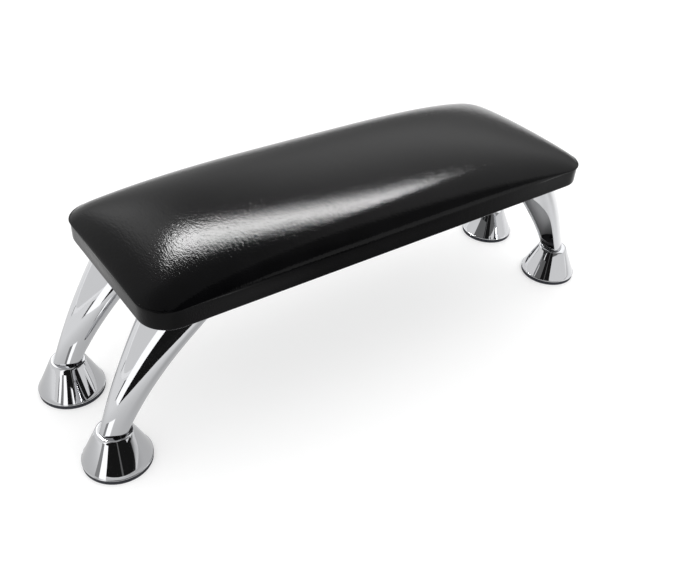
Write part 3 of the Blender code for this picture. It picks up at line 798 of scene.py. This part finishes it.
def cup_profile(foot):
    """A cup's closed profile: flat top, round edge, straight cone, rounded lip, and back inside."""
    lip_top = foot.rim + foot.lip
    slope = math.degrees(math.atan2(foot.height - lip_top, foot.radius - foot.top_radius))
    hub_r = foot.top_radius - foot.edge_round * math.tan(math.radians(slope / 2))
    hub_z = foot.height - foot.edge_round
    hole = 6 * MM
    step_in, step_up = 0.5 * MM, 0.15 * MM
    lip = foot.lip / 2
    inner = foot.radius - foot.wall
    turn = math.radians(90 - slope)
    upper = (hub_r + foot.edge_round * math.cos(turn), hub_z + foot.edge_round * math.sin(turn))
    lower = (foot.radius - step_in, lip_top + step_up)
    cone = np.linspace(upper, lower, 10)[1:]
    return np.concatenate([
        [(hole, foot.height), (hub_r * 0.8, foot.height)],
        arc((hub_r, hub_z), foot.edge_round, 90, 90 - slope, 9),
        cone,
        arc((foot.radius - lip, foot.rim + lip), lip, 75, -75, 9),
        [(inner, foot.rim), (inner, lip_top),
         (foot.top_radius - foot.wall, foot.height - foot.wall), (hole, foot.height - foot.wall)],
    ])


def pad_profile(foot):
    """A pad's closed profile: a disc with soft edges, a spigot in the cup and ring grooves underneath."""
    soft = 0.6 * MM
    edge = foot.radius - 0.3 * MM
    spigot = 20.5 * MM
    top = PAD_HIGH.z
    rings = np.arange(21.0, 3.0, -3.0) * MM
    groove = np.array([(0.0, 0.0), (0.4, 0.6), (1.2, 0.6), (1.6, 0.0)]) * MM
    grooves = [(ring - inward, deep) for ring in rings for inward, deep in groove]
    return np.concatenate([
        [(0.0, top), (spigot, top), (spigot, foot.pad)],
        arc((edge - soft, foot.pad - soft), soft, 90, 0, 5),
        arc((edge - soft, soft), soft, 0, -90, 5),
        grooves,
        [(0.0, 0.0)],
    ])


class ARMREST_OT_feet(bpy.types.Operator):
    """Build the four chrome cups and their rubber pads"""

    bl_idname = "armrest.feet"
    bl_label = "Cup feet"

    def execute(self, context):
        stand = context.scene.arm_rest
        chrome = chrome_finish(stand.finish.chrome)
        rubber = rubber_finish(stand.finish.rubber)
        for corner, (side_x, side_y) in CORNERS.items():
            centre = (side_x * stand.foot.place_x, side_y * stand.foot.place_y)
            cup = turned(cup_profile(stand.foot), centre, CUP_STEPS)
            add_surface(corner + "_cup", cup, chrome, [corner + "_foot_cup"],
                        wrap_rows=True)
            pad = turned(pad_profile(stand.foot), centre, PAD_STEPS)
            add_surface(corner + "_pad", pad, rubber, [corner + "_foot_pad"])
        return {"FINISHED"}


def screw_surface(node):
    """A pan-head screw with a cross recess, on the CAD screw's axis, as a grid of points.

    The profile goes from the head's middle round the head and up the shank; the head's face is pushed in
    by depth * mask, where the mask is 1 on two crossed bars that narrow outwards.
    """
    low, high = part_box(node)
    centre = ((low.x + high.x) / 2, (low.y + high.y) / 2)
    head = (high.x - low.x) / 2
    shank = head / 2
    tall = 0.6 * head
    flat = 0.86 * head
    face = np.linspace(0.0, 1.0, 22)[:-1]
    profile = np.concatenate([
        np.stack([face * flat, low.z + tall * 0.1 * face ** 2], axis=-1),
        arc((flat, low.z + tall * 0.45), head - flat, -60, 0, 5),
        [(head, low.z + tall), (shank, low.z + tall), (shank, high.z - shank), (0.3 * shank, high.z),
         (0.0, high.z)],
    ])
    points = turned(profile, centre, SCREW_STEPS)
    across = points[..., 0] - centre[0]
    along = points[..., 1] - centre[1]
    bar, bar_end, depth = 0.17 * head, 0.56 * head, 0.5 * tall
    near = np.minimum(np.abs(across), np.abs(along))
    far = np.maximum(np.abs(across), np.abs(along))
    mask = np.clip((bar * (1.15 - 0.5 * far / bar_end) - near) / (0.3 * bar), 0, 1) * (far < bar_end)
    on_face = points[..., 2] < low.z + tall * 0.2
    points[..., 2] += depth * mask * on_face
    return points


class ARMREST_OT_fixings(bpy.types.Operator):
    """Dress the mount plates, plugs and foot screws, and build the plate screws"""

    bl_idname = "armrest.fixings"
    bl_label = "Plates and screws"

    def execute(self, context):
        colours = context.scene.arm_rest.finish
        zinc = zinc_finish(colours.zinc)
        # The near-black zinc of plates and plugs is painted shade under the rest
        shade_dark_zinc = zinc_finish(colours.shade_dark_zinc, "black_zinc_plated_steel_dressed")
        for corner in CORNERS:
            dress_node(corner + "_mount_plate", shade_dark_zinc)
            dress_node(corner + "_leg_plug", shade_dark_zinc)
            dress_node(corner + "_foot_screw", zinc)
            for number in range(1, 5):
                node = f"{corner}_plate_screw_{number}"
                screw = screw_surface(node)
                add_surface(f"{corner}_screw_{number}", screw, zinc, [node])
        return {"FINISHED"}


def staple_points(centres, ways):
    """Staples as bent wires: one bar of 9 mm with ends that turn up into the board, all in one array.

    A round section of 0.35 mm is carried along a path of six points for every staple.
    """
    bar, rise, wire, bend = 4.5 * MM, 1.6 * MM, 0.35 * MM, 0.3 * MM
    path = np.array([(-bar, rise), (-bar, bend), (-bar + bend, 0.0),
                     (bar - bend, 0.0), (bar, bend), (bar, rise)])
    tilt = np.radians([0, 45, 70, 110, 135, 180])
    angle = np.linspace(0.0, math.tau, 8, endpoint=False)
    along = path[:, :1] - wire * np.cos(angle) * np.cos(tilt)[:, None]
    up = path[:, 1:] - wire * np.cos(angle) * np.sin(tilt)[:, None]
    side = np.broadcast_to(wire * np.sin(angle), along.shape)
    cos, sin = np.cos(ways)[:, None, None], np.sin(ways)[:, None, None]
    x = centres[:, 0, None, None] + along * cos - side * sin
    y = centres[:, 1, None, None] + along * sin + side * cos
    z = centres[:, 2, None, None] + np.broadcast_to(up, x.shape)
    return np.stack([x, y, z], axis=-1)


class ARMREST_OT_underside(bpy.types.Operator):
    """Build the dust cover with its staples, and dress the board"""

    bl_idname = "armrest.underside"
    bl_label = "Underside"

    def execute(self, context):
        stand = context.scene.arm_rest
        rest = stand.rest
        dress_node("base_board", plywood_finish(stand.finish.plywood))
        inset = rest.length / 2 - DUST_HIGH.x
        gap, thickness, sag = 0.1 * MM, 0.6 * MM, 1.6 * MM
        sag_x, sag_y = 92 * MM, 62 * MM
        share = np.linspace(0.0, 1.0, SHEET_ROWS)
        length = (rest.length - 2 * inset) - 2 * (rest.width / 2 - inset) * share
        width = (rest.width - 2 * inset) * (1 - share)
        corner = (rest.corner - inset) * (1.12 - share)
        x, y = rest_outlines(length, width, corner, SHEET_MARKS)
        middle = np.clip(1 - (x / sag_x) ** 2, 0, 1) ** 2 * np.clip(1 - (y / sag_y) ** 2, 0, 1)
        points = np.stack([x, y, DUST_HIGH.z - gap - sag * middle], axis=-1)
        sheet = add_surface("dust_sheet", points, fabric_finish(stand.finish.fabric),
                            ["dust_cover"])
        thick = sheet.modifiers.new("Thickness", "SOLIDIFY")
        thick.thickness = thickness
        thick.offset = -1.0
        edge, lift = inset + 4 * MM, 0.3 * MM
        clear_x, clear_y = 24 * MM, 22 * MM
        half_x, half_y = rest.length / 2 - edge, rest.width / 2 - edge
        along = np.linspace(-1, 1, SIDE_STAPLES) * (half_x - clear_x)
        across = np.linspace(-1, 1, END_STAPLES) * (half_y - clear_y)
        height = DUST_HIGH.z - gap - thickness - lift
        centres = [(x, side * half_y, height) for side in (-1, 1) for x in along]
        centres += [(side * half_x, y, height) for side in (-1, 1) for y in across]
        ways = np.repeat([0.0, math.pi / 2], [2 * SIDE_STAPLES, 2 * END_STAPLES])
        number = np.arange(len(ways))
        askew = 0.12 * np.sin(number * 2.4)
        wires = staple_points(np.array(centres), ways + askew)
        rows, columns = wires.shape[1:3]
        faces = grid_faces(rows, columns) + number[:, None, None] * (rows * columns)
        mesh = mesh_of("dust_cover_staples", wires, faces.reshape(-1, 4))
        add_piece(mesh, zinc_finish(stand.finish.zinc), [])
        return {"FINISHED"}


def world_light(studio):
    """The white tent: dimmer straight above and low at the back, brighter halfway up right and behind.

    strength = tent * above * (1 - 0.6 low back) * (1 + 0.7 glow + 1.7 behind), by the way's three shares.
    """
    world = bpy.data.worlds.new("tent")
    world.use_nodes = True
    tree = world.node_tree
    way = Wire(tree).node("ShaderNodeTexCoord", out="Generated")
    right, back, height = [way.axis(number) for number in range(3)]
    above = 1.0 - (1.0 - studio.zenith) * height.step(0.75, 0.97)
    low_back = (1.0 - height.step(0.05, 0.5)) * right.step(0.15, 0.7) * back.step(0.0, 0.3)
    glow = right.step(0.25, 0.6) * (1.0 - 0.8 * right.step(0.7, 0.95)) * height.step(0.2, 0.45)
    behind = (right.step(-0.14, 0.0) - right.step(0.03, 0.22)) * back.step(0.2, 0.6)
    behind = behind * (height.step(0.25, 0.55) - height.step(0.68, 0.85))
    strength = above * (1.0 - 0.6 * low_back) * (1.0 + 0.7 * glow + 1.7 * behind) * studio.tent
    tree.links.new(strength.socket, tree.nodes["Background"].inputs["Strength"])
    tree.nodes["Background"].inputs["Color"].default_value = shade(WHITE)
    bpy.context.scene.world = world


def look_from(place, aim, roll):
    """A camera's matrix from its place, the point it looks at and its roll."""
    ahead = (aim - place).normalized()
    level = ahead.cross(Vector((0, 0, 1))).normalized()
    over = level.cross(ahead)
    right = level * math.cos(roll) + over * math.sin(roll)
    up = over * math.cos(roll) - level * math.sin(roll)
    turn = Matrix((right, up, -ahead)).transposed().to_4x4()
    return Matrix.Translation(place) @ turn


def add_light(name, kind, place, aim, **settings):
    """A light that points at a place."""
    data = bpy.data.lights.new(name, kind)
    for key, value in settings.items():
        setattr(data, key, value)
    lamp = linked(data)
    lamp.matrix_world = look_from(Vector(place), Vector(aim), 0.0)
    return lamp


def add_card(mesh, material):
    """A stage card that shows in glossy reflections alone."""
    mesh.materials.append(material)
    card = linked(mesh)
    card.visible_camera = False
    card.visible_diffuse = False
    card.visible_shadow = False


def glow_finish(name, light, build=None, colour=(0.0, 0.0, 0.0)):
    """A finish without gloss that gives a light of its own, even unless build varies it."""
    return finish(name, {"Base Color": shade(colour), "Specular IOR Level": 0.0,
                         "Emission Color": shade(WHITE, light), "Emission Strength": 1.0}, build)


def level_mesh(name, along, across, height, steps=3):
    """A level grid at one height."""
    x, y = np.meshgrid(np.linspace(*along, steps), np.linspace(*across, steps))
    points = np.stack([x, y, np.full_like(x, height)], axis=-1)
    return mesh_of(name, points, grid_faces(steps, steps, wrap_columns=False))


def upright_mesh(name, places, low, high):
    """An upright sheet that bends through places in plan."""
    points = [[(x, y, height) for x, y in places] for height in (low, high)]
    return mesh_of(name, points, grid_faces(2, len(places), wrap_columns=False))


def flag_finish():
    """A grey flag that fades out towards the left, the right and the rest."""
    def build(places):
        along, across = places.axis(0), places.axis(1)
        left = 0.3 * along.step(-0.27, -0.2) + 0.7 * along.step(-0.1, 0.04)
        right = 1.0 - 0.7 * along.step(0.15, 0.45)
        return {"Alpha": left * right * (1.0 - across.step(-0.15, -0.07))}
    return glow_finish("grey_flag", FLAG_LIGHT, build)


def left_floor_finish():
    """The floor as the left legs mirror it, shaded towards the rest."""
    def build(places):
        away = places.node("ShaderNodeVectorMath", {"operation": "DISTANCE"},
                           {0: places, 1: LEFT_FLOOR_CENTRE}, out=1)
        near, far = shade(WHITE, LEFT_FLOOR_SHADE), shade(WHITE, LEFT_FLOOR_LIGHT)
        return {"Emission Color": away.step(0.04, 0.42).blend(near, far)}
    return glow_finish("left_floor", LEFT_FLOOR_LIGHT, build)


class ARMREST_OT_studio(bpy.types.Operator):
    """Build the floor, the lights and the camera"""

    bl_idname = "armrest.studio"
    bl_label = "Studio"

    def execute(self, context):
        scene = context.scene
        studio = scene.arm_rest.studio
        scene.view_settings.view_transform = "Standard"
        floor = linked(level_mesh("floor", FLOOR_SPAN, FLOOR_SPAN, 0.0, 13))
        floor.data.materials.append(glow_finish("pale_floor", studio.floor_glow, colour=studio.floor))
        world_light(studio)
        overhead = add_light("overhead", "SUN", OVERHEAD_PLACE, (0, 0, 0), energy=studio.overhead,
                             angle=math.radians(90))
        overhead.visible_glossy = False
        long, short = SOFTBOX_SIZE
        strip = add_light("strip_softbox", "AREA", SOFTBOX_PLACE, SOFTBOX_AIM, shape="RECTANGLE", size=long,
                          size_y=short, energy=studio.softbox * long * short * math.pi)
        strip.visible_diffuse = False
        for name, (places, low, high, light) in CARDS.items():
            add_card(upright_mesh(name, places, low, high), glow_finish(name, light))
        add_card(level_mesh("flag", *FLAG), flag_finish())
        add_card(level_mesh("left_floor", *LEFT_FLOOR), left_floor_finish())
        camera = bpy.data.cameras.new("camera")
        camera.lens = studio.lens
        camera.sensor_width = 36.0
        camera.clip_start = 0.01
        scene.camera = linked(camera)
        scene.camera.matrix_world = look_from(Vector(studio.camera_place), Vector(studio.camera_aim),
                                              studio.camera_roll)
        return {"FINISHED"}


OPERATORS = (ARMREST_OT_rest, ARMREST_OT_legs, ARMREST_OT_feet, ARMREST_OT_fixings, ARMREST_OT_underside,
             ARMREST_OT_studio)


class ARMREST_PT_panel(bpy.types.Panel):
    """The arm rest's builders, in the sidebar"""

    bl_idname = "ARMREST_PT_panel"
    bl_label = "Arm Rest"
    bl_space_type = "VIEW_3D"
    bl_region_type = "UI"
    bl_category = "Arm Rest"

    def draw(self, context):
        for operator in OPERATORS:
            self.layout.operator(operator.bl_idname)


CLASSES = (RestSizes, LegSizes, FootSizes, Finishes, Studio, StandSettings, *OPERATORS, ARMREST_PT_panel)


def register():
    """Register the classes and hang the settings on the scene."""
    for item in CLASSES:
        bpy.utils.register_class(item)
    bpy.types.Scene.arm_rest = PointerProperty(type=StandSettings)


def unregister():
    """Undo register."""
    del bpy.types.Scene.arm_rest
    for item in reversed(CLASSES):
        bpy.utils.unregister_class(item)


def main():
    """Build every piece and the studio."""
    register()
    for operator in OPERATORS:
        group, action = operator.bl_idname.split(".")
        getattr(getattr(bpy.ops, group), action)()


if __name__ == "__main__":
    main()
